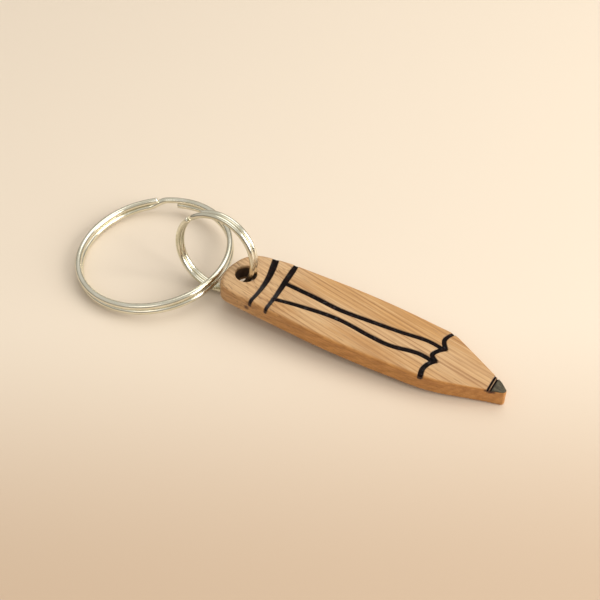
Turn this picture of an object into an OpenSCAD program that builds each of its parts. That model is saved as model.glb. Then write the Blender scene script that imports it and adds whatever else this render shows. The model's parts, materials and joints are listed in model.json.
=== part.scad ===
// Keychain: a flat wooden tag cut and drawn as a pencil, on a small split ring
// that hangs from a large one. It lies as it was put down, with the tag's eraser
// end propped on the small ring and the large ring beside it.
// +X runs along the tag to its tip and +Z is up. The origin is on the table.

/* [Tag] */
// Thickness of the wood
tag_t = 2.9; // [2.7:0.1:3]
// Reach of the tip from the centre of the ring hole
tip_reach = 40.4; // [38:0.2:44]
// Half width of the far side at its widest
far_half_w = 5.95; // [5.5:0.05:6.5]
// Half width of the near side at its widest
near_half_w = 4.9; // [4.5:0.05:5.5]
// Reach of the eraser end behind the hole's centre
end_reach = 3.4; // [3.2:0.05:3.6]
// Diameter of the drilled ring hole
hole_d = 3.3; // [3.2:0.05:3.6]

/* [Drawn lines] */
// Depth to which the lines are cut and filled
line_depth = 0.35; // [0.2:0.05:0.6]
// Width of the two lines along the tag
facet_w = 0.55; // [0.4:0.05:0.7]
// Width of the two lines across the tag, at the far edge
ferrule_w = 0.8; // [0.6:0.05:1]
// Width of the wavy line where the sharpened end begins
wave_w = 0.65; // [0.5:0.05:0.8]
// Depth of the grey coat on the tip
lead_depth = 0.3; // [0.2:0.05:0.5]

/* [Split rings] */
// Outer diameter of the large ring
large_od = 25; // [24:0.5:28]
// Wire of the large ring
large_wire = 1; // [0.9:0.05:1.1]
// Outer diameter of the small ring
small_od = 13.5; // [13:0.1:14]
// Wire of the small ring
small_wire = 0.85; // [0.75:0.05:0.9]
// Gap between the two coils of a ring
coil_gap = 0.03; // [0.02:0.01:0.06]

/* [Lay] */
// Height of the tag's underside at the ring hole
tag_raise = 2.35; // [2.3:0.05:2.5]
// Tilt of the small ring from flat
small_tilt = 78.5; // [77:0.1:80]
// Direction in which the small ring rises, from +X
small_turn = 92.5; // [90:0.5:95]
// Tilt of the large ring from flat
large_tilt = 3.8; // [3.2:0.1:5]
// Direction in which the large ring rises, from +X
large_turn = 28; // [0:1:40]

/* [Hidden] */
$fn = 64;

// The tag lies with its tip on the table, so the raised end sets its slope.
tag_slope = asin(tag_raise / tip_reach);

// Both rings, as the radius of the wire's centre line.
large_r = (large_od - large_wire) / 2;
small_r = (small_od - small_wire) / 2;
large_step = large_wire + coil_gap;
small_step = small_wire + coil_gap;

// Ring centres from the hole's centre. Each ring's lowest coil touches the table.
small_at = [-5.2, 0.47, lay_height(small_r, small_wire, small_step, small_tilt)];
large_at = [-16.85, 0.05, lay_height(large_r, large_wire, large_step, large_tilt)];
function lay_height(r, wire, step, tilt) = r * sin(tilt) + step / 2 * cos(tilt) + wire / 2;

// Where each wire changes coil and half that stretch. The large ring's angle is
// from +X, and the small ring's is round the ring from its highest side.
large_crank = 115;
large_crank_half = 8;
small_crank = 36;
small_crank_half = 9;

// Extra diameter of the bends at the two ends of a crank.
elbow = 0.04;

// The origin is the middle of the whole object's footprint.
large_lean = sin(large_tilt) * cos(large_turn);
large_span = large_r * sqrt(1 - large_lean * large_lean) + large_wire / 2;
reach_left = large_at[0] - large_span - large_step / 2 * abs(large_lean);
reach_right = tip_reach * cos(tag_slope) + tag_t * sin(tag_slope);
hole_at = [-(reach_left + reach_right) / 2, -large_at[1], 0];

// Widths of the drawn lines where they are narrower or wider than above.
rear_near_w = 0.55;
front_far_w = ferrule_w - 0.1;
front_near_w = 0.45;
facet_end_w = facet_w + 0.05;
wave_far_w = wave_w - 0.1;
wave_joint_w = wave_w * 1.12;
lead_thin_w = 0.2;
lead_thick_far_w = 0.42;
lead_thick_near_w = 0.36;

// How far ahead of its line's middle the grey coat begins, and how far a cutter
// runs past the wood.
coat_shift = 0.03;
over = 1;

// Colour of the filled lines.
fill_colour = [0.06, 0.05, 0.05];

// Outline of the tag from the hole's centre: each corner is [x, y, rounding].
outline = [
    [tip_reach - 1, 0.55, 0.35], [31.1, 5.2, 1.2], [20.5, far_half_w, 6],
    [3.6, 5.45, 2.6], [-1.8, 4.3, 2.6], [-end_reach, -0.4, 2.0],
    [-2.4, -4.15, 1.7], [1.2, -4.4, 0.8], [17, -near_half_w, 6],
    [30.8, -4.05, 3], [tip_reach - 0.1, -0.95, 0.25], [tip_reach + 0.03, -0.45, 0.2]
];

// Centre lines of the drawn lines, from the far edge or the ferrule end.
ferrule_rear_path = [[2.0, 5.9], [2.6, 4.0], [3.25, 1.0], [3.4, -2.0], [3.1, -5.4]];
ferrule_front_path = [[5.6, 6.2], [5.75, 2.0], [5.9, -1.6], [5.8, -5.4]];
facet_far_path = [[5.8, 1.25], [10.5, 1.1], [15, 0.8], [19.5, 1.1], [24, 1.5], [28, 2.0], [30.4, 1.75]];
facet_near_path = [[5.8, -2.25], [10, -1.45], [15.5, -0.85], [21, -1.35], [24, -1.4], [27.5, -0.7], [30, -0.9]];
wave_paths = [
    [[31.2, 5.3], [30.5, 4.4], [30.15, 3.2], [30.8, 1.9]],
    [[30.8, 1.9], [30.1, 1.2], [29.55, 0.1], [30.3, -0.75]],
    [[30.3, -0.75], [29.6, -1.7], [29.25, -3.0], [29.6, -4.8]]
];
lead_thin_path = [[38.45, 1.4], [38.25, 0.0], [38.05, -2.2]];
lead_thick_path = [[38.95, 1.4], [38.75, 0.0], [38.5, -2.2]];

// Points of a smooth curve through a few given points.
function at(p, i) = p[max(0, min(len(p) - 1, i))];
function spline(p, n = 8) = [
    for (i = [0:len(p) - 2]) for (k = [0:n - (i == len(p) - 2 ? 0 : 1)])
        let (t = k / n, a = at(p, i - 1), b = p[i], c = p[i + 1], d = at(p, i + 2))
            b + t * (c - a) / 2 + t * t * (a - 2.5 * b + 2 * c - d / 2)
              + t * t * t * (1.5 * b - a / 2 - 1.5 * c + d / 2)
];

// A band of changing width along a curve, as one closed outline.
function side(p, i) =
    let (d = at(p, i + 1) - at(p, i - 1)) [-d[1], d[0]] / norm(d);
function band(p, w0, w1) =
    let (n = len(p) - 1, w = function(i) (w0 + (w1 - w0) * i / n) / 2)
        concat([for (i = [0:n]) p[i] + side(p, i) * w(i)],
               [for (i = [n:-1:0]) p[i] - side(p, i) * w(i)]);

// A polygon whose corners are eased by a curve that starts `ease` before each one.
function unit(v) = v / norm(v);
function xy(q) = [q[0], q[1]];
function eased(q, n = 8) = [
    for (i = [0:len(q) - 1])
        let (b = xy(q[i]), a = xy(q[(i + len(q) - 1) % len(q)]), c = xy(q[(i + 1) % len(q)]),
             p0 = b + unit(a - b) * q[i][2], p2 = b + unit(c - b) * q[i][2])
            for (k = [0:n]) let (t = k / n) (1 - t) * (1 - t) * p0 + 2 * t * (1 - t) * b + t * t * p2
];

// Puts a shape drawn flat at the hole's centre where the tag lies.
module lay_tag() translate(hole_at + [0, 0, tag_raise]) rotate([0, tag_slope, 0]) children();

module tag_blank() linear_extrude(tag_t) polygon(eased(outline));

// A cut line: `proud` lets the cutter stand above the wood, and is 0 for the fill.
module cut_line(path, w0, w1, proud, depth = line_depth)
    translate([0, 0, tag_t - depth]) linear_extrude(depth + proud) polygon(band(spline(path), w0, w1));

module rear_cut(proud = 0) cut_line(ferrule_rear_path, ferrule_w, rear_near_w, proud);
module front_cut(proud = 0) cut_line(ferrule_front_path, front_far_w, front_near_w, proud);
module far_cut(proud = 0) cut_line(facet_far_path, facet_w, facet_w, proud);
module near_cut(proud = 0) cut_line(facet_near_path, facet_w, facet_end_w, proud);

module wave_cut(proud = 0) {
    for (p = wave_paths) cut_line(p, wave_far_w, wave_w, proud);
    for (i = [1, 2]) translate([wave_paths[i][0][0], wave_paths[i][0][1], tag_t - line_depth])
        cylinder(d = wave_joint_w, h = line_depth + proud);
}

module lead_cuts(proud = 0) {
    cut_line(lead_thin_path, lead_thin_w, lead_thin_w, proud);
    cut_line(lead_thick_path, lead_thick_far_w, lead_thick_near_w, proud);
}

module tip_coat(proud = 0)
    translate([0, 0, tag_t - lead_depth]) linear_extrude(lead_depth + proud)
        polygon(concat([for (q = lead_thick_path) q + [coat_shift, 0]],
                       [for (i = [2, 0]) [tip_reach + over, lead_thick_path[i][1]]]));

module fill() {
    lay_tag() intersection() {
        tag_blank();
        children();
    }
}

module wood_tag()
    color("burlywood") lay_tag() difference() {
        tag_blank();
        translate([0, 0, -over]) cylinder(d = hole_d, h = tag_t + 2 * over);
        rear_cut(over);
        front_cut(over);
        far_cut(over);
        near_cut(over);
        wave_cut(over);
        lead_cuts(over);
        tip_coat(over);
    }

module ferrule_line_rear() color(fill_colour) fill() rear_cut();

module ferrule_line_front() color(fill_colour) fill() front_cut();

module facet_line_far()
    color(fill_colour) fill() difference() {
        far_cut();
        front_cut(over);
        wave_cut(over);
    }

module facet_line_near()
    color(fill_colour) fill() difference() {
        near_cut();
        front_cut(over);
        wave_cut(over);
    }

module sharpening_line() color(fill_colour) fill() wave_cut();

module lead_line() color(fill_colour) fill() lead_cuts();

module lead_tip()
    color("dimgray") fill() difference() {
        tip_coat();
        lead_cuts(over);
    }

// One stretch of a coil, from angle a0 through `sweep` degrees.
module coil(r, wire, a0, sweep, z)
    translate([0, 0, z]) rotate([0, 0, a0]) rotate_extrude(angle = sweep)
        translate([r, 0]) circle(d = wire);

// A split ring about +Z: two coils one on the other, and the short crank that
// joins them. Seen from +Z the wire climbs as it goes round clockwise.
module split_ring(r, wire, step, crank, half) {
    low = r * [cos(crank + half), sin(crank + half)];
    high = r * [cos(crank - half), sin(crank - half)];
    run = norm([high[0] - low[0], high[1] - low[1], step]);
    coil(r, wire, crank + half, 360 - 2 * half, -step / 2);
    coil(r, wire, crank + half, 360 - 2 * half, step / 2);
    translate([low[0], low[1], -step / 2]) {
        sphere(d = wire + elbow);
        rotate([0, 0, crank - 90]) rotate([0, acos(step / run), 0]) cylinder(d = wire, h = run);
    }
    translate([high[0], high[1], step / 2]) sphere(d = wire + elbow);
}

module lay_ring(at, turn, tilt)
    translate(hole_at + at) rotate([0, 0, turn]) rotate([0, -tilt, 0]) children();

module small_split_ring()
    color("silver") lay_ring(small_at, small_turn, small_tilt)
        split_ring(small_r, small_wire, small_step, small_crank, small_crank_half);

module large_split_ring()
    color("silver") lay_ring(large_at, large_turn, large_tilt)
        split_ring(large_r, large_wire, large_step, large_crank - large_turn, large_crank_half);

wood_tag();
ferrule_line_rear();
ferrule_line_front();
facet_line_far();
facet_line_near();
sharpening_line();
lead_line();
lead_tip();
small_split_ring();
large_split_ring();
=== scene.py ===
import json
import math
import bpy
import bmesh
import numpy as np
from mathutils import Matrix, Vector, noise
from mathutils.geometry import delaunay_2d_cdt


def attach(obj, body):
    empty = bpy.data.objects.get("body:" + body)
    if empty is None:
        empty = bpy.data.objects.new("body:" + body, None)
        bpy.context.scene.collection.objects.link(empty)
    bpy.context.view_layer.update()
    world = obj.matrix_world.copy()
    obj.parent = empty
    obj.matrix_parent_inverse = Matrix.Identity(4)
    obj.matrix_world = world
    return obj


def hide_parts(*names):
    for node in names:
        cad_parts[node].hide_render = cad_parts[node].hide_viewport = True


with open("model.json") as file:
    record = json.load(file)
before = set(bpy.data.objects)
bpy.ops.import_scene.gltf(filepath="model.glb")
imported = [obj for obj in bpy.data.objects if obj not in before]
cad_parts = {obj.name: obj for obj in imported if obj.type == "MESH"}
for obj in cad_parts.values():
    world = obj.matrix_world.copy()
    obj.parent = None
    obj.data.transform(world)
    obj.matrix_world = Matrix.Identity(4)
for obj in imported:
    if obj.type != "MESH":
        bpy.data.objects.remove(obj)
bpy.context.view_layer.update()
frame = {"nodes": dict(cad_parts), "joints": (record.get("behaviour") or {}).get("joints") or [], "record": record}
mm = 0.001
joints = {joint["name"]: joint for joint in frame["joints"]}
print("frame loaded:", sorted(frame["nodes"]))


def unit(v):
    return v / np.linalg.norm(v)


def easedOutline(corners, steps=8):  # each corner is x, y and how far before it the curve starts
    points = []
    for i, (x, y, ease) in enumerate(corners):
        b = np.array((x, y))
        a = np.array(corners[i - 1][:2])
        c = np.array(corners[(i + 1) % len(corners)][:2])
        start = b + unit(a - b) * ease
        end = b + unit(c - b) * ease
        for t in np.linspace(0, 1, steps + 1):
            points.append((1 - t) ** 2 * start + 2 * t * (1 - t) * b + t * t * end)
    return np.array(points)


def smoothLine(points, steps=10):  # a curve through the given points
    p = np.array(points, float)
    p = np.vstack([p[0], p, p[-1]])
    out = []
    for i in range(1, len(p) - 2):
        a, b, c, d = p[i - 1:i + 3]
        for t in np.arange(steps) / steps:
            out.append(b + t * (c - a) / 2 + t * t * (a - 2.5 * b + 2 * c - d / 2)
                       + t ** 3 * (1.5 * b - a / 2 - 1.5 * c + d / 2))
    out.append(p[-2])
    return np.array(out)


def evenSteps(points, step, closed=False):
    p = np.vstack([points, points[:1]]) if closed else points
    along = np.concatenate([[0], np.cumsum(np.linalg.norm(np.diff(p, axis=0), axis=1))])
    count = max(2, int(round(along[-1] / step)))
    want = np.linspace(0, along[-1], count + 1)
    if closed:
        want = want[:-1]
    return np.stack([np.interp(want, along, p[:, k]) for k in range(p.shape[1])], -1)


def nearestOn(points, line, closed=False):  # distance to a line, and how far along it, from 0 to 1
    a = line if closed else line[:-1]
    b = np.roll(line, -1, 0) if closed else line[1:]
    d = b - a
    size = (d * d).sum(1)
    best = np.full(len(points), 1e9)
    where = np.zeros(len(points))
    for first in range(0, len(points), 2000):
        q = points[first:first + 2000, None, :] - a[None]
        t = np.clip((q * d).sum(2) / size, 0, 1)
        gap = np.linalg.norm(q - t[..., None] * d, axis=2)
        k = gap.argmin(1)
        row = np.arange(len(k))
        best[first:first + 2000] = gap[row, k]
        where[first:first + 2000] = (k + t[row, k]) / len(a)
    return best, where


def isInside(points, outline):
    a, b = outline, np.roll(outline, -1, 0)
    crossings = np.zeros(len(points), int)
    for p, q in zip(a, b):
        if p[1] == q[1]:
            continue
        straddles = (p[1] > points[:, 1]) != (q[1] > points[:, 1])
        reach = p[0] + (points[:, 1] - p[1]) * (q[0] - p[0]) / (q[1] - p[1])
        crossings += straddles & (points[:, 0] < reach)
    return crossings % 2 == 1


def squareTo(along):  # unit arrows a quarter turn to the left of the given ones
    return np.stack([-along[:, 1], along[:, 0]], -1) / np.linalg.norm(along, axis=1)[:, None]


def loopFaces(upper, lower):  # a band of faces between two loops of point numbers
    ahead = [(i + 1) % len(upper) for i in range(len(upper))]
    return [(upper[i], upper[j], lower[j], lower[i]) for i, j in enumerate(ahead)]


def tubeFaces(rows, around):  # a tube whose points are numbered row by row
    loops = [[row * around + k for k in range(around)] for row in range(rows)]
    return [face for upper, lower in zip(loops, loops[1:]) for face in loopFaces(upper, lower)]


def softStep(low, high, value):
    t = np.clip((value - low) / (high - low), 0, 1)
    return t * t * (3 - 2 * t)


def ripple(points, size, seed=0.0):  # smooth noise from -1 to 1, of bumps about size across
    heights = points[:, 2] if points.shape[1] > 2 else np.zeros(len(points))
    return np.array([noise.noise(Vector((p[0] / size, p[1] / size, seed + h / size)))
                     for p, h in zip(points, heights)])


def newPiece(name, vertices, faces, material, smooth=True):
    mesh = bpy.data.meshes.new(name)
    mesh.from_pydata([tuple(v) for v in vertices], [], [tuple(f) for f in faces])
    mesh.validate()
    work = bmesh.new()
    work.from_mesh(mesh)
    bmesh.ops.recalc_face_normals(work, faces=work.faces)
    work.to_mesh(mesh)
    work.free()
    for polygon in mesh.polygons:
        polygon.use_smooth = smooth
    mesh.materials.append(material)
    piece = bpy.data.objects.new(name, mesh)
    bpy.context.scene.collection.objects.link(piece)
    return piece


def paintVertices(piece, name, values):
    layer = piece.data.attributes.new(name, "FLOAT", "POINT")
    layer.data.foreach_set("value", np.asarray(values, np.float32))


bandsPerScale = 0.314  # a wave texture of scale 1 repeats this many times in one unit


class Shader:  # a material and short ways to add nodes to it
    def __init__(self, name):
        self.material = bpy.data.materials.new(name)
        self.material.use_nodes = True
        self.tree = self.material.node_tree
        self.finish = self.tree.nodes["Principled BSDF"]

    def add(self, kind, settings=None, **inputs):
        node = self.tree.nodes.new(kind)
        for key, value in (settings or {}).items():
            setattr(node, key, value)
        for key, value in inputs.items():
            self.join(value, node.inputs[key.replace("_", " ")])
        return node

    def join(self, value, socket):
        if isinstance(value, bpy.types.NodeSocket):
            self.tree.links.new(value, socket)
        else:
            socket.default_value = value

    def space(self, scale, turn=0.0, shift=(0, 0, 0), roll=0.0):  # the piece's own millimetres, stretched
        own = self.add("ShaderNodeTexCoord").outputs["Object"]
        turns = (math.radians(roll), 0, math.radians(turn))
        turned = self.add("ShaderNodeMapping", Vector=own, Rotation=turns, Scale=(1 / mm, 1 / mm, 1 / mm),
                          Location=shift).outputs["Vector"]
        stretch = self.add("ShaderNodeVectorMath", {"operation": "MULTIPLY"})
        self.join(turned, stretch.inputs[0])
        stretch.inputs[1].default_value = scale
        return stretch.outputs["Vector"]

    def noise(self, space, size=1.0, detail=4.0, rough=0.5, bend=0.0):
        node = self.add("ShaderNodeTexNoise", Vector=space, Scale=size, Detail=detail,
                        Roughness=rough, Distortion=bend)
        return node.outputs["Fac"]

    def rings(self, space, gap, bend, detail=3.0):  # saw-toothed bands, gap apart along y
        node = self.add("ShaderNodeTexWave", {"bands_direction": "Y", "wave_profile": "SAW"}, Vector=space,
                        Scale=bandsPerScale / gap, Distortion=bend, Detail=detail, Detail_Scale=1.0)
        return node.outputs["Fac"]

    def ramp(self, value, stops):
        node = self.add("ShaderNodeValToRGB", Fac=value)
        bar = node.color_ramp.elements
        while len(bar) < len(stops):
            bar.new(0.5)
        for stop, (place, shade) in zip(bar, stops):
            stop.position = place
            stop.color = shade if isinstance(shade, tuple) else (shade, shade, shade, 1)
        return node.outputs["Color"]

    def mix(self, amount, a, b):  # from colour a to colour b
        node = self.add("ShaderNodeMix", {"data_type": "RGBA"})
        self.join(amount, node.inputs[0])
        self.join(a, node.inputs[6])
        self.join(b, node.inputs[7])
        return node.outputs[2]

    def math(self, how, a, b):
        node = self.add("ShaderNodeMath", {"operation": how})
        self.join(a, node.inputs[0])
        self.join(b, node.inputs[1])
        return node.outputs[0]

    def painted(self, name):
        return self.add("ShaderNodeAttribute", {"attribute_name": name}).outputs["Fac"]

    def bump(self, height, distance, strength):
        node = self.add("ShaderNodeBump", Height=height, Distance=distance, Strength=strength)
        return node.outputs["Normal"]


viewPoint = {
    "azimuth": 28.0,  # degrees to the right of the tag's near side
    "elevation": 48.0,
    "distance": 111.3 * mm,
    "aim": (1.9 * mm, 3.2 * mm, 0.0),  # on the floor
    "lens": 43.74,
    "nearest": 0.005,
}


def armTowards(azimuth, elevation):  # unit arrow from the aim, azimuth from the tag's near side
    turn, rise = math.radians(azimuth), math.radians(elevation)
    return Vector((math.sin(turn) * math.cos(rise), -math.cos(turn) * math.cos(rise), math.sin(rise)))


def placeCamera():
    data = bpy.data.cameras.new("camera")
    data.lens = viewPoint["lens"]
    data.sensor_width = 36
    data.clip_start = viewPoint["nearest"]
    camera = bpy.data.objects.new("camera", data)
    back = armTowards(viewPoint["azimuth"], viewPoint["elevation"])
    camera.location = Vector(viewPoint["aim"]) + back * viewPoint["distance"]
    camera.rotation_euler = back.to_track_quat("Z", "Y").to_euler()
    bpy.context.scene.collection.objects.link(camera)
    bpy.context.scene.camera = camera


studio = {
    # the floor's two tones are painted light and shade: darker near the camera, brighter away from it
    "floorFarLit": (0.765, 0.655, 0.522, 1),
    "floorNearShade": (0.56, 0.415, 0.285, 1),
    "floorShadeFade": (-0.045, 0.0),  # painted shade: where the darker near tone ends and the lit far one begins, away from the camera
    "floorRoughness": 0.62,
    "floorSize": 3.0,
    "skyTop": (0.66, 0.64, 0.61, 1),
    "skyEdge": (0.08, 0.062, 0.045, 1),  # the room's dimmer walls, low all round
    "skyFade": 0.55,  # how high, from 0 to 1, the full top tone begins
    # name: azimuth from the camera's back, elevation, distance, width, height, watts, colour
    "lamps": {
        "window": (72, 27, 0.50, 0.36, 0.30, 2.5, (1.0, 0.98, 0.95)),
        "back": (150, 62, 0.60, 0.50, 0.40, 0.95, (1.0, 0.98, 0.95)),
        "front": (-25, 45, 0.60, 0.30, 0.20, 0.25, (1.0, 0.97, 0.94)),
    },
}


def floorFinish():
    # painted shade: the floor's colour darkens towards the camera, standing in for the lamps' fall-off
    s = Shader("floorPaintedFalloff")
    turn = math.radians(viewPoint["azimuth"])
    away = s.add("ShaderNodeVectorMath", {"operation": "DOT_PRODUCT"})
    s.join(s.add("ShaderNodeTexCoord").outputs["Object"], away.inputs[0])
    away.inputs[1].default_value = (-math.sin(turn), math.cos(turn), 0)
    near, far = studio["floorShadeFade"]
    shadeFade = s.add("ShaderNodeMapRange", {"interpolation_type": "SMOOTHSTEP"}, Value=away.outputs["Value"],
                 From_Min=near, From_Max=far)
    tone = s.mix(shadeFade.outputs["Result"], studio["floorNearShade"], studio["floorFarLit"])
    s.join(tone, s.finish.inputs["Base Color"])
    s.finish.inputs["Roughness"].default_value = studio["floorRoughness"]
    return s.material


def buildStudio():
    size = studio["floorSize"] / 2
    floor = newPiece("floor", [(-size, -size, 0), (size, -size, 0), (size, size, 0), (-size, size, 0)],
                     [(0, 1, 2, 3)], floorFinish(), smooth=False)
    world = bpy.data.worlds.new("studioSky")
    world.use_nodes = True
    tree = world.node_tree
    heading = tree.nodes.new("ShaderNodeTexCoord")
    parts = tree.nodes.new("ShaderNodeSeparateXYZ")
    climb = tree.nodes.new("ShaderNodeMapRange")
    blend = tree.nodes.new("ShaderNodeMix")
    climb.inputs["From Max"].default_value = studio["skyFade"]
    blend.data_type = "RGBA"
    blend.inputs[6].default_value = studio["skyEdge"]
    blend.inputs[7].default_value = studio["skyTop"]
    tree.links.new(heading.outputs["Generated"], parts.inputs[0])
    tree.links.new(parts.outputs["Z"], climb.inputs["Value"])
    tree.links.new(climb.outputs["Result"], blend.inputs[0])
    tree.links.new(blend.outputs[2], tree.nodes["Background"].inputs["Color"])
    bpy.context.scene.world = world
    bpy.context.scene.view_settings.view_transform = "Standard"  # plain colours, as the finishes give them
    aim = Vector(viewPoint["aim"])
    for name, (side, rise, away, wide, high, watts, colour) in studio["lamps"].items():
        data = bpy.data.lights.new(name, "AREA")
        data.shape = "RECTANGLE"
        data.size, data.size_y = wide, high
        data.energy = watts
        data.color = colour
        lamp = bpy.data.objects.new(name, data)
        toLamp = armTowards(viewPoint["azimuth"] + side, rise)
        lamp.location = aim + toLamp * away
        lamp.rotation_euler = toLamp.to_track_quat("Z", "Y").to_euler()
        bpy.context.scene.collection.objects.link(lamp)


tag = {  # millimetres, from the hole's centre on the underside, +x to the tip
    "thickness": 2.9,
    "outline": [
        (39.4, 0.55, 0.35), (31.1, 5.2, 1.2), (20.5, 5.95, 6), (3.6, 5.45, 2.6), (-1.8, 4.3, 2.6),
        (-3.4, -0.4, 2.0), (-2.4, -4.15, 1.7), (1.2, -4.4, 0.8), (17, -4.9, 6), (30.8, -4.05, 3),
        (40.3, -0.95, 0.25), (40.43, -0.45, 0.2),
    ],
    "outlineStep": 0.16,  # between the outline's points
    "gridStep": 0.34,  # between the plain points of the top face
    "closest": 0.045,  # points nearer than this are merged
    "margin": 0.025,  # kept clear along the outline and the hole
    "edgeRings": (0.03, 0.09, 0.18, 0.3, 0.45, 0.65, 0.9),  # rows of points inside the outline
    "holeRings": (0.03, 0.08, 0.14, 0.22, 0.36),  # and round the hole
    "lineRings": (0.02, 0.08, 0.16, 0.3),  # and beside the lines
    "holePoints": 72,
    "holeRadius": 1.65,
    "holeEdge": 0.09,  # rounding of the hole's mouth
    "holeFoot": 0.04,  # rounding of its foot
    "holeTaper": 0.08,  # how much narrower the drill left the hole's foot
    "taperReach": 0.5,
    "endEdge": 0.75,  # rounding of the top edge at the eraser end
    "sideEdge": 0.42,  # and along the sides
    "tipEdge": 0.14,  # and at the tip
    "underEdge": 0.3,
    "endPart": (-1, 15),  # where the end's edge fades into the sides' edge
    "tipPart": (27, 39),  # and that into the tip's edge
    "unevenness": 0.03,
    "wornSize": 5.0,
    "wornFrom": 1.5,  # how far in from the edge the wear is full
    "grooveDepth": 0.3,
    "grooveLip": (-0.05, 0.06),  # where the groove's wall begins and ends, beside its band
    "burnReach": 0.1,
    "wallRows": 9,
    "holeRows": 5,
    "dents": 0.05,  # saw marks on the outer wall
    "dentSize": 1.6,
    "toe": 0.4,  # how far the tip's foot stands out past its top
    "toePart": (38.3, 40.3),
}

lines = {  # the drawn lines: node, centre line and its widths from one end to the other
    "ferruleRear": ("ferrule_line_rear", [(2.0, 5.9), (2.6, 4.0), (3.25, 1.0), (3.4, -2.0), (3.1, -5.4)],
                    (0.9, 0.95, 0.72, 0.5, 0.42)),
    "ferruleFront": ("ferrule_line_front", [(5.6, 6.2), (5.75, 2.0), (5.9, -1.6), (5.8, -5.4)],
                     (0.5, 0.82, 0.78, 0.62, 0.48, 0.42)),
    "facetFar": ("facet_line_far", [(5.8, 1.25), (10.5, 1.1), (15, 0.8), (19.5, 1.1), (24, 1.5), (28, 2.0),
                                    (30.4, 1.75)], (0.6, 0.68, 0.62, 0.56, 0.55)),
    "facetNear": ("facet_line_near", [(5.8, -2.25), (10, -1.45), (15.5, -0.85), (21, -1.35), (24, -1.4),
                                      (27.5, -0.7), (30, -0.9)], (0.5, 0.6, 0.58, 0.6, 0.62)),
    "waveFar": ("sharpening_line", [(31.2, 5.3), (30.5, 4.4), (30.15, 3.2), (30.8, 1.9)],
                (0.36, 0.5, 0.62)),
    "waveMiddle": ("sharpening_line", [(30.8, 1.9), (30.1, 1.2), (29.55, 0.1), (30.3, -0.75)],
                   (0.6, 0.52, 0.66)),
    "waveNear": ("sharpening_line", [(30.3, -0.75), (29.6, -1.7), (29.25, -3.0), (29.6, -4.8)],
                 (0.55, 0.6, 0.7)),
    "leadThin": ("lead_line", [(38.45, 1.4), (38.25, 0.0), (38.05, -2.2)], (0.2, 0.2)),
    "leadThick": ("lead_line", [(38.95, 1.4), (38.75, 0.0), (38.5, -2.2)], (0.42, 0.36)),
}

lineStep = 0.12  # between the points of a drawn line
outline = evenSteps(easedOutline(tag["outline"]), tag["outlineStep"], closed=True)
curves = {name: evenSteps(smoothLine(path), lineStep) for name, (node, path, widths) in lines.items()}


def widthAt(name, where):  # where runs from 0 to 1 along the line
    widths = lines[name][2]
    return np.interp(where, np.linspace(0, 1, len(widths)), widths)


def insideDepth(points):  # how far a point lies within the tag's outline, negative outside
    gap = nearestOn(points, outline, closed=True)[0]
    return np.where(isInside(points, outline), gap, -gap)


def outsideHole(points):  # distance from the hole's wall
    return np.hypot(points[:, 0], points[:, 1]) - tag["holeRadius"]


def roundedDrop(depth, radius):  # how far a rounded edge has fallen at this depth behind it
    inner = np.clip(radius - depth, 0, radius)
    return radius - np.sqrt(radius * radius - inner * inner)


def topEdge(points):  # rounding of the top edge nearest each point
    towardsEnd = 1 - softStep(*tag["endPart"], points[:, 0])
    towardsTip = softStep(*tag["tipPart"], points[:, 0])
    return (tag["sideEdge"] + (tag["endEdge"] - tag["sideEdge"]) * towardsEnd
            + (tag["tipEdge"] - tag["sideEdge"]) * towardsTip)


def woodTop(points):  # height of the drawn face, without the lines
    depth = np.maximum(insideDepth(points), 0)
    bumps = 0.5 + 0.5 * ripple(points, tag["wornSize"])
    worn = tag["unevenness"] * bumps * softStep(0, tag["wornFrom"], depth)
    return (tag["thickness"] - roundedDrop(depth, topEdge(points)) - worn
            - roundedDrop(np.maximum(outsideHole(points), 0), tag["holeEdge"]))


def bandGap(name, points):  # distance to the edge of a line's band, negative inside it
    gap, where = nearestOn(points, curves[name])
    return gap - widthAt(name, where) / 2


def nearestBand(points):
    return np.min([bandGap(name, points) for name in lines], axis=0)


def scatterTop():  # points that carry the top face: edge rings, line edges and a plain grid
    inward = squareTo(np.roll(outline, -1, 0) - np.roll(outline, 1, 0))
    rows = []
    for depth in tag["edgeRings"]:
        ring = outline + inward * depth
        rows.append(ring[insideDepth(ring) > depth * 0.93])  # not where the ring folds over itself
    turns = np.linspace(0, 2 * math.pi, tag["holePoints"] + 1)[:-1]
    circle = np.stack([np.cos(turns), np.sin(turns)], -1)
    rows += [circle * (tag["holeRadius"] + away) for away in tag["holeRings"]]
    for name, curve in curves.items():
        half = widthAt(name, np.linspace(0, 1, len(curve)))[:, None] / 2
        across = squareTo(np.gradient(curve, axis=0))
        for share in (0.0, 0.7, 0.95):  # inside the line's band
            rows += [curve + across * half * share, curve - across * half * share]
        for gap in tag["lineRings"]:
            rows += [curve + across * (half + gap), curve - across * (half + gap)]
    low, high = outline.min(0), outline.max(0)
    step = tag["gridStep"]
    gridX, gridY = np.meshgrid(np.arange(low[0], high[0], step), np.arange(low[1], high[1], step))
    gridX, gridY = gridX.ravel(), gridY.ravel()
    grid = np.stack([gridX + step / 2 * (np.round(gridY / step) % 2), gridY], -1)
    points = np.vstack(rows + [grid])
    points = points[(insideDepth(points) > tag["margin"]) & (outsideHole(points) > tag["margin"])]
    kept, taken = [], set()
    for p in points:
        cell = (round(p[0] / tag["closest"]), round(p[1] / tag["closest"]))
        if cell not in taken:
            taken.add(cell)
            kept.append(p)
    return np.array(kept), circle * tag["holeRadius"]


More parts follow.
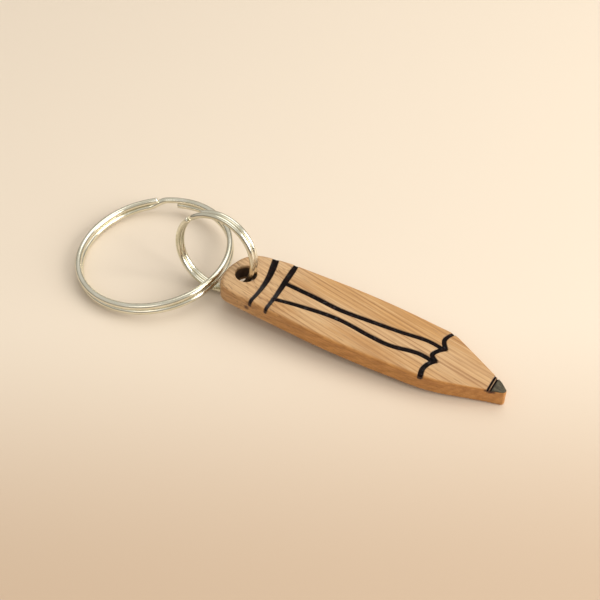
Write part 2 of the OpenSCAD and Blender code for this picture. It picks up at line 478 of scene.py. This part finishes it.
def fillSheet(border, hole, inner):  # triangles over the outline, with the hole left open
    points = np.vstack([border, hole, inner])
    count, rim = len(border), len(hole)
    edges = [(i, (i + 1) % count) for i in range(count)]
    edges += [(count + i, count + (i + 1) % rim) for i in range(rim)]
    found = delaunay_2d_cdt([Vector(p) for p in points], edges, [], 1, 1e-6)
    index = {old: new for new, olds in enumerate(found[3]) for old in olds}
    sheet = np.array([tuple(v) for v in found[0]])
    faces = [f for f in found[2] if np.hypot(*sheet[list(f)].mean(0)) > tag["holeRadius"]]
    return sheet, faces, [index[i] for i in range(count)], [index[count + i] for i in range(rim)]


woodZones = {  # where each tone of the wood fades in or out, in the tag's millimetres
    "wall": (0.15, 0.95),  # fades out over the rounded top edge, as a share of its rounding
    "underWall": (0.1, 0.9),  # and over the bottom edge
    "wallLitTowardsEnd": (1, 15, 0.4),  # painted light: the end's walls are painted paler, as lit; from, to and the least share
    "rear": (4, 13),
    "between": ((5, 9), (1.2, 2.4), 0.45),  # along, across and share of the paler strip between the lines
    "paleEnd": (2.5, 14),
    "sharpened": ((29.5, 32), (1.5, 3), 0.2),  # along, across and share
    "ruddy": ((7, 12), (29, 31), (1.2, 2.6)),  # start and end along, then across
    # painted shade: where the walls begin and end darkening towards the tip
    "tipWallShade": (20, 32),
}


def paintWood(piece, points, blackening, wall):
    x, y = points[:, 0], points[:, 1]
    zone = woodZones
    start, end, least = zone["wallLitTowardsEnd"]
    paintVertices(piece, "blackening", blackening)
    # painted light: the wall tone thins towards the eraser end, so those walls come out paler
    paintVertices(piece, "wall", wall * (least + (1 - least) * softStep(start, end, x)))
    paintVertices(piece, "rear", 1 - softStep(*zone["rear"], x))
    along, across, share = zone["between"]
    between = share * softStep(*along, x) * (1 - softStep(*across, np.abs(y)))
    # a paler tone at the eraser end, between the lines and on the sharpened part
    slanted = x + 0.6 * (6 - y)
    end = 1 - softStep(*zone["paleEnd"], slanted)
    along, across, share = zone["sharpened"]
    sharpened = share * softStep(*along, x) * (1 - softStep(*across, y))
    paintVertices(piece, "paleWood", np.max([between, end, sharpened], axis=0))
    first, last, across = zone["ruddy"]
    paintVertices(piece, "ruddy", softStep(*across, y) * softStep(*first, x) * (1 - softStep(*last, x)))
    # painted shade on the walls near the tip
    paintVertices(piece, "tipWallShade", softStep(*zone["tipWallShade"], x))


def buildTag(material):
    inner, hole = scatterTop()
    flat, topFaces, topBorder, topRim = fillSheet(outline, hole, inner)
    line = nearestBand(flat)
    height = woodTop(flat) - tag["grooveDepth"] * (1 - softStep(*tag["grooveLip"], line))
    depth = np.maximum(insideDepth(flat), 0)
    vertices = [np.column_stack([flat, height])]
    blackening = [np.exp(-np.maximum(line, 0) ** 2 / tag["burnReach"] ** 2)]
    wall = [1 - softStep(*woodZones["wall"], depth / topEdge(flat))]
    faces = [tuple(f) for f in topFaces]
    # the underside is a copy with a third of the points
    below, underFaces, underBorder, underRim = fillSheet(outline, hole, inner[::3])
    start = len(flat)
    depth = np.maximum(insideDepth(below), 0)
    away = outsideHole(below)
    under = roundedDrop(depth, tag["underEdge"]) + roundedDrop(np.maximum(away, 0), tag["holeFoot"])
    taper = tag["holeTaper"] * (1 - softStep(0, tag["taperReach"], away))
    below *= (1 - taper / np.hypot(below[:, 0], below[:, 1]))[:, None]
    vertices.append(np.column_stack([below, under]))
    blackening.append(np.zeros(len(below)))
    wall.append(1 - softStep(*woodZones["underWall"], depth / tag["underEdge"]))
    faces += [tuple(start + i for i in f) for f in underFaces]
    # walls: rows of points between the two sheets
    count = start + len(below)
    for upper, lower, rows, isOuter in ((topBorder, underBorder, tag["wallRows"], True),
                                        (topRim, underRim, tag["holeRows"], False)):
        previous = list(upper)
        top, bottom = vertices[0][upper], vertices[1][lower]
        for row in range(1, rows):
            t = row / rows
            loop = top * (1 - t) + bottom * t
            if isOuter:
                inwards = squareTo(np.roll(loop[:, :2], -1, 0) - np.roll(loop[:, :2], 1, 0))
                dents = tag["dents"] * (0.5 + 0.5 * ripple(loop, tag["dentSize"], 7.0))
                loop[:, :2] += inwards * (dents * math.sin(math.pi * t))[:, None]
            vertices.append(loop)
            # the hole's wall takes the near-black tone in full, so the hole is dark inside; the outer wall takes
            # none
            blackening.append(np.full(len(loop), 0.0 if isOuter else 1.0))
            wall.append(np.ones(len(loop)))
            current = [count + i for i in range(len(loop))]
            count += len(loop)
            faces += loopFaces(previous, current)
            previous = current
        faces += loopFaces(previous, [start + i for i in lower])
    vertices = np.vstack(vertices)
    vertices[:, 0] += (tag["toe"] * softStep(*tag["toePart"], vertices[:, 0])
                       * (1 - np.clip(vertices[:, 2] / tag["thickness"], 0, 1)))
    piece = newPiece("oakTag", vertices * mm, faces, material)
    paintWood(piece, vertices, np.concatenate(blackening), np.concatenate(wall))
    return piece, flat, topFaces


filling = {  # the drawn lines' black filling, in millimetres
    "clearOfEdge": 0.06,  # a line stops this far inside the outline
    "overlap": 0.01,  # how far each side reaches past its band
    "lumps": 0.07,  # unevenness of the width, as a share of it
    "lumpSize": 0.9,
    "endRound": 0.22,
    "endBlunt": 0.02,
    "sunk": 0.07,  # below the wood, at the line's edges
    "dish": 0.05,  # and this much more in its middle
    "beads": 0.03,
    "beadSize": 0.22,
    "foot": 0.28,  # depth of its underside
    "places": (-1, -0.85, -0.6, -0.3, 0, 0.3, 0.6, 0.85, 1),  # points across it
    "streaks": ((0.45, 0.35, 1.0), (-0.75, 0.2, 0.7)),  # shiny strips: place across, width, strength
    "shinyPart": (-1.0, 2.2),  # across the tag, towards its near side
}


def buildFill(name, material):  # one drawn line: a dished, lumpy ribbon set in its groove
    whole = curves[name]
    kept = insideDepth(whole) > filling["clearOfEdge"]
    curve = whole[kept]
    width = widthAt(name, np.linspace(0, 1, len(whole)))[kept]
    across = squareTo(np.gradient(curve, axis=0))
    run = np.concatenate([[0], np.cumsum(np.linalg.norm(np.diff(curve, axis=0), axis=1))])
    ease = np.clip((np.minimum(run, run[-1] - run) + filling["endBlunt"]) / filling["endRound"], 0, 1)
    rounding = np.sqrt(1 - (1 - ease) ** 2)
    lumps = 1 + filling["lumps"] * ripple(curve, filling["lumpSize"], 3.0)
    half = width / 2 * lumps * rounding + filling["overlap"]
    rows = []
    for u in filling["places"]:
        p = curve + across * (half * u)[:, None]
        beads = filling["beads"] * ripple(p, filling["beadSize"], 9.0) * (1 - u ** 4)
        depth = filling["sunk"] + filling["dish"] * (1 - u * u) - beads
        rows.append(np.column_stack([p, woodTop(p) - depth]))
    for u in (1, -1):
        p = curve + across * (half * u)[:, None]
        rows.append(np.column_stack([p, woodTop(p) - filling["foot"]]))
    count, around = len(curve), len(rows)
    vertices = np.stack(rows, 1).reshape(-1, 3)
    faces = tubeFaces(count, around)
    faces += [tuple(range(around)), tuple((count - 1) * around + k for k in range(around))]
    piece = newPiece(name, vertices * mm, faces, material)
    place = np.tile(list(filling["places"]) + [1, -1], count)
    streak = sum(strength * np.exp(-((place - middle) / wide) ** 2)
                 for middle, wide, strength in filling["streaks"])
    near = softStep(*filling["shinyPart"], -vertices[:, 1])
    paintVertices(piece, "shine", streak * near * name.startswith("ferrule"))
    return piece


leadCoat = {"lift": 0.012, "foot": 0.05}  # its top above the wood, and its underside below


def buildLeadCoat(flat, topFaces, material):  # the grey coat follows the top face beyond the thick line
    curve = curves["leadThick"]
    middles = {f: flat[list(f)].mean(0) for f in map(tuple, topFaces)}
    chosen = [f for f, (x, y) in middles.items() if x > np.interp(-y, -curve[:, 1], curve[:, 0])]
    used = sorted({i for f in chosen for i in f})
    index = {old: new for new, old in enumerate(used)}
    points = flat[used]
    upper = np.column_stack([points, woodTop(points) + leadCoat["lift"]])
    lower = np.column_stack([points, woodTop(points) - leadCoat["foot"]])
    sides = {}
    for f in chosen:
        for a, b in zip(f, f[1:] + f[:1]):
            sides.setdefault(tuple(sorted((a, b))), []).append((a, b))
    faces = [tuple(index[i] for i in f) for f in chosen]
    faces += [tuple(len(used) + index[i] for i in reversed(f)) for f in chosen]
    for uses in sides.values():
        if len(uses) == 1:
            a, b = uses[0]
            faces.append((index[b], index[a], len(used) + index[a], len(used) + index[b]))
    return newPiece("leadCoat", np.vstack([upper, lower]) * mm, faces, material)


rings = {  # millimetres; the crank is where the wire steps from one coil to the other, in degrees
    "small_split_ring": {"wire": 0.85, "outer": 13.5, "gap": 0.03, "crank": 36.0, "crankHalf": 9.0},
    "large_split_ring": {"wire": 1.0, "outer": 25.0, "gap": 0.03, "crank": 87.0, "crankHalf": 8.0},
}
wire = {
    "step": 0.28,  # between its rows of points
    "around": 24,
    "spring": 0.05,  # how far the upper coil's free end stands up
    "springFade": 3.0,
    "nipped": {-2: 0.0, -1: 0.8, 0: 0.97},  # thickness of the last rows at a cut end
    "burr": 0.02,  # how far the cut end bulges
}


def buildRing(name, node, centre, tilt, turn, material):
    size = rings[node]
    radius = (size["outer"] - size["wire"]) / 2
    rise = size["wire"] + size["gap"]
    half = math.radians(size["crankHalf"])
    crank = math.radians(size["crank"])
    sweep = 4 * math.pi - 2 * half
    middle = 2 * math.pi - half
    count = int(radius * sweep / wire["step"])
    around = wire["around"]
    nudge = 0.01  # for the wire's slope
    vertices = []
    for i in range(-2, count + 3):
        s = min(max(i, 0), count) / count * sweep  # angle walked clockwise from the lower coil's end
        angle = crank - half - s
        climb = softStep(middle - half, middle + half, s + half)
        lift = wire["spring"] * math.exp(-(sweep - s) * wire["springFade"])
        nip = wire["nipped"].get(min(i, count - i), 1.0)
        slope = (softStep(middle - half, middle + half, s + half + nudge) - climb) * rise / nudge
        out = Vector((math.cos(angle), math.sin(angle), 0))
        ahead = Vector((math.sin(angle) * radius, -math.cos(angle) * radius, float(slope))).normalized()
        up = out.cross(ahead)
        cap = -wire["burr"] * (i < 0) + wire["burr"] * (i > count)
        here = out * radius + Vector((0, 0, float(rise * (climb - 0.5)) + lift)) + ahead * cap
        for k in range(around):
            turnBy = 2 * math.pi * k / around
            spoke = out * math.cos(turnBy) + up * math.sin(turnBy)
            vertices.append(here + spoke * size["wire"] / 2 * nip)
    faces = tubeFaces(len(vertices) // around, around)
    piece = newPiece(name, [v * mm for v in vertices], faces, material)
    work = bmesh.new()
    work.from_mesh(piece.data)
    bmesh.ops.remove_doubles(work, verts=work.verts, dist=1e-7)  # closes the cut ends
    work.to_mesh(piece.data)
    work.free()
    piece.matrix_world = (Matrix.Translation(centre) @ Matrix.Rotation(math.radians(turn), 4, "Z")
                          @ Matrix.Rotation(math.radians(-tilt), 4, "Y"))
    return piece


oak = {
    "pale": (0.585, 0.364, 0.168, 1),
    "warm": (0.50, 0.268, 0.095, 1),
    "paleWood": (0.66, 0.46, 0.26, 1),  # the paler wood round the hole and between the lines
    "ruddy": (0.54, 0.285, 0.085, 1),  # the warmer band beyond the far line
    "late": (0.27, 0.115, 0.036, 1),  # the dark lines of the growth rings
    "fibre": (0.27, 0.125, 0.045, 1),
    "streak": (0.74, 0.53, 0.29, 1),
    "pore": (0.12, 0.050, 0.018, 1),
    "wall": (0.62, 0.295, 0.082, 1),
    "wallDark": (0.36, 0.145, 0.034, 1),
    "nearBlack": (0.022, 0.009, 0.006, 1),
    "scorch": (0.05, 0.012, 0.005, 1),
    "scorches": [  # place and reach, on the near wall
        ((2.65, -4.45, 1.25), 0.66), ((37.9, -1.8, 2.62), 0.46),
        ((38.45, -1.62, 2.5), 0.6), ((38.95, -1.45, 2.55), 0.48),
    ],
    "ringGap": 0.62,
    "ringBend": 3.4,
    "ringRoll": 24,  # degrees the growth rings lean over inside the board
    "grainTurn": 9.0,  # degrees off the tag's length
    "dashTurn": 24.0,
    "amounts": {  # how strongly each tone shows over the one below
        "paleWood": 0.6, "ruddy": 0.55, "darkFibre": 0.52, "paleFibre": 0.40, "fine": 0.28,
        "wallRings": 0.40, "tipWallShade": 0.25, "dashes": 0.6, "streaks": 0.34, "blackened": 0.94, "scorch": 0.85,
    },
    "relief": 0.035 * mm,
    "shine": 0.35,
    "oil": 0.06,
}


def oakFinish():
    s = Shader("oiledOak")
    turn = oak["grainTurn"]
    amount = oak["amounts"]

    def layer(base, name, mask, tone):  # one tone over the base, where its mask is white
        return s.mix(s.math("MULTIPLY", mask, amount[name]), base, oak[tone])

    board = s.space((0.035, 1, 1), turn, (0, 0.4, 0), oak["ringRoll"])
    rings = s.rings(board, oak["ringGap"], oak["ringBend"])
    fibres = s.noise(s.space((0.045, 2.4, 2.4), turn, (1, 3, 0)), detail=6, rough=0.72, bend=0.1)
    fine = s.noise(s.space((0.12, 6.0, 6.0), turn), detail=4, rough=0.6)
    patches = s.noise(s.space((0.09, 0.34, 0.34), turn, (2.5, 1, 0)), detail=3)
    streaks = s.noise(s.space((0.30, 4.6, 4.6), turn + 3, (4, 2, 1)), detail=2, rough=0.6)
    dashes = s.noise(s.space((0.50, 4.4, 4.4), oak["dashTurn"], (0, 2, 5)), detail=2, rough=0.6)
    base = s.mix(s.ramp(patches, [(0.38, 0.0), (0.62, 1.0)]), oak["pale"], oak["warm"])
    base = layer(base, "paleWood", s.painted("paleWood"), "paleWood")
    base = layer(base, "ruddy", s.painted("ruddy"), "ruddy")
    late = s.ramp(rings, [(0.0, 0.0), (0.45, 0.10), (0.86, 1.0), (1.0, 0.15)])
    base = s.mix(s.math("MULTIPLY", late, s.ramp(fibres, [(0.38, 0.66), (0.62, 0.14)])), base, oak["late"])
    base = layer(base, "darkFibre", s.ramp(fibres, [(0.36, 1.0), (0.48, 0.0)]), "fibre")
    base = layer(base, "paleFibre", s.ramp(fibres, [(0.54, 0.0), (0.68, 1.0)]), "streak")
    base = layer(base, "fine", s.ramp(fine, [(0.40, 1.0), (0.55, 0.0)]), "fibre")
    side = s.mix(s.ramp(fibres, [(0.38, 0.75), (0.60, 0.0)]), oak["wall"], oak["wallDark"])
    side = layer(side, "wallRings", late, "wallDark")
    # painted shade: the walls darken towards the tip
    side = layer(side, "tipWallShade", s.painted("tipWallShade"), "wallDark")
    wood = s.mix(s.painted("wall"), base, side)
    rearShare = s.math("MULTIPLY", s.painted("rear"), amount["dashes"])
    pores = s.math("MULTIPLY", s.ramp(dashes, [(0.60, 0.0), (0.67, 1.0)]), rearShare)
    longPores = s.math("MULTIPLY", s.ramp(streaks, [(0.62, 0.0), (0.70, 1.0)]), amount["streaks"])
    pores = s.math("MAXIMUM", pores, longPores)
    wood = s.mix(pores, wood, oak["pore"])
    # near black along the drawn lines' edges and over the whole wall of the hole
    wood = layer(wood, "blackened", s.math("POWER", s.painted("blackening"), 1.4), "nearBlack")
    here = s.space((1, 1, 1))
    wobble = s.math("MULTIPLY", s.noise(s.space((2.5, 2.5, 2.5)), detail=2), 0.25)
    for place, reach in oak["scorches"]:
        away = s.add("ShaderNodeVectorMath", {"operation": "DISTANCE"})
        s.join(here, away.inputs[0])
        away.inputs[1].default_value = place
        ragged = s.math("ADD", away.outputs["Value"], wobble)
        wood = layer(wood, "scorch", s.ramp(ragged, [(reach * 0.45, 1.0), (reach, 0.0)]), "scorch")
    s.join(wood, s.finish.inputs["Base Color"])
    s.join(s.ramp(fibres, [(0.3, 0.55), (0.7, 0.42)]), s.finish.inputs["Roughness"])
    relief = s.math("SUBTRACT", s.math("MULTIPLY", fibres, 0.7), pores)
    s.join(s.bump(relief, oak["relief"], 0.8), s.finish.inputs["Normal"])
    s.finish.inputs["Specular IOR Level"].default_value = oak["shine"]
    s.finish.inputs["Coat Weight"].default_value = oak["oil"]
    s.finish.inputs["Coat Roughness"].default_value = 0.35
    return s.material


blackFill = {
    "deep": (0.0022, 0.0010, 0.0009, 1),
    "brown": (0.009, 0.0024, 0.0018, 1),
    "roughness": [(0.35, 0.28), (0.7, 0.50)],
    "glints": [(0.58, 0.0), (0.67, 0.9)],
    "glintShare": 0.35,
    "grit": 0.07 * mm,
}


def blackFinish():
    s = Shader("glossyBlackFill")
    grit = s.noise(s.space((1, 1, 1)), 5.5, detail=4, rough=0.65)
    tint = s.noise(s.space((1, 1, 1), 0, (4, 4, 0)), 1.4, detail=2)
    gloss = s.ramp(s.noise(s.space((1, 1, 1), 0, (1, 7, 3)), 2.2, detail=3), blackFill["glints"])
    tone = s.mix(s.ramp(tint, [(0.4, 0.0), (0.7, 1.0)]), blackFill["deep"], blackFill["brown"])
    wet = s.math("MAXIMUM", s.math("MULTIPLY", gloss, blackFill["glintShare"]), s.painted("shine"))
    s.join(tone, s.finish.inputs["Base Color"])
    s.join(s.ramp(grit, blackFill["roughness"]), s.finish.inputs["Roughness"])
    s.join(s.bump(grit, blackFill["grit"], 0.7), s.finish.inputs["Normal"])
    s.join(wet, s.finish.inputs["Coat Weight"])
    s.finish.inputs["Coat Roughness"].default_value = 0.08
    s.finish.inputs["Specular IOR Level"].default_value = 0.06
    return s.material


graphite = {
    "dark": (0.052, 0.042, 0.024, 1),
    "pale": (0.105, 0.088, 0.052, 1),
    "speck": (0.028, 0.022, 0.014, 1),
    "speckShare": 0.5,
    "roughness": [(0.3, 0.40), (0.7, 0.58)],
    "relief": 0.02 * mm,
}


def greyFinish():
    s = Shader("graphiteCoat")
    fibres = s.noise(s.space((0.4, 3.0, 3.0), oak["grainTurn"]), detail=4, rough=0.6)
    specks = s.noise(s.space((1, 1, 1)), 4.0, detail=3)
    tone = s.mix(s.ramp(fibres, [(0.35, 0.0), (0.65, 1.0)]), graphite["dark"], graphite["pale"])
    spotted = s.math("MULTIPLY", s.ramp(specks, [(0.5, 0.0), (0.62, 1.0)]), graphite["speckShare"])
    s.join(s.mix(spotted, tone, graphite["speck"]), s.finish.inputs["Base Color"])
    s.join(s.ramp(specks, graphite["roughness"]), s.finish.inputs["Roughness"])
    s.join(s.bump(s.math("ADD", fibres, specks), graphite["relief"], 0.6), s.finish.inputs["Normal"])
    s.finish.inputs["Specular IOR Level"].default_value = 0.25
    return s.material


nickelPlate = {
    "bright": (0.83, 0.80, 0.67, 1),
    "dull": (0.71, 0.68, 0.54, 1),
    "roughness": [(0.35, 0.14), (0.75, 0.28)],
    "scuffs": 0.008 * mm,
}


def nickelFinish():
    s = Shader("nickelPlate")
    haze = s.noise(s.space((0.25, 0.25, 0.25)), detail=3)
    scuffs = s.noise(s.space((1.2, 1.2, 5.0), 0, (5, 2, 1)), detail=4, rough=0.7)
    tone = s.mix(s.ramp(haze, [(0.4, 0.0), (0.65, 1.0)]), nickelPlate["bright"], nickelPlate["dull"])
    s.join(tone, s.finish.inputs["Base Color"])
    s.join(s.ramp(scuffs, nickelPlate["roughness"]), s.finish.inputs["Roughness"])
    s.join(s.bump(scuffs, nickelPlate["scuffs"], 0.5), s.finish.inputs["Normal"])
    s.finish.inputs["Metallic"].default_value = 1.0
    return s.material


def layOnTag(piece):  # from the tag's own frame to where it lies
    swivel = joints["ring_swivel"]
    up = Vector(swivel["axis"]).normalized()
    along = (Vector((1, 0, 0)) - up * up.x).normalized()
    across = up.cross(along)
    place = Matrix((along, across, up)).transposed().to_4x4()
    piece.matrix_world = Matrix.Translation(swivel["pos_m"]) @ place


def windRing(name, node, centre, normal, finish):  # a ring about its axis in the frame
    tilt = math.degrees(math.acos(normal.z))
    turn = math.degrees(math.atan2(-normal.y, -normal.x))
    return buildRing(name, node, centre, tilt, turn, finish)


def dress():
    wood, black, grey, nickel = oakFinish(), blackFinish(), greyFinish(), nickelFinish()
    tagPiece, flat, topFaces = buildTag(wood)
    layOnTag(tagPiece)
    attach(tagPiece, "tag")
    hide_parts("wood_tag")
    print("tag built:", len(tagPiece.data.vertices), "points")
    for name, (node, path, widths) in lines.items():
        fill = buildFill(name, black)
        layOnTag(fill)
        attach(fill, "tag")
        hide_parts(node)
    coat = buildLeadCoat(flat, topFaces, grey)
    layOnTag(coat)
    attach(coat, "tag")
    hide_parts("lead_tip")
    print("lines and lead drawn")
    lift = joints["large_ring_lift"]
    small = windRing("smallRing", "small_split_ring", Vector(lift["pos_m"]), -Vector(lift["axis"]), nickel)
    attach(small, "small_ring")
    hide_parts("small_split_ring")
    loop = frame["record"]["mounts"][0]
    large = windRing("largeRing", "large_split_ring", Vector(loop["pos_m"]), Vector(loop["axis"]), nickel)
    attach(large, "large_ring")
    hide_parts("large_split_ring")
    print("rings wound")


placeCamera()
buildStudio()
print("studio set")
dress()
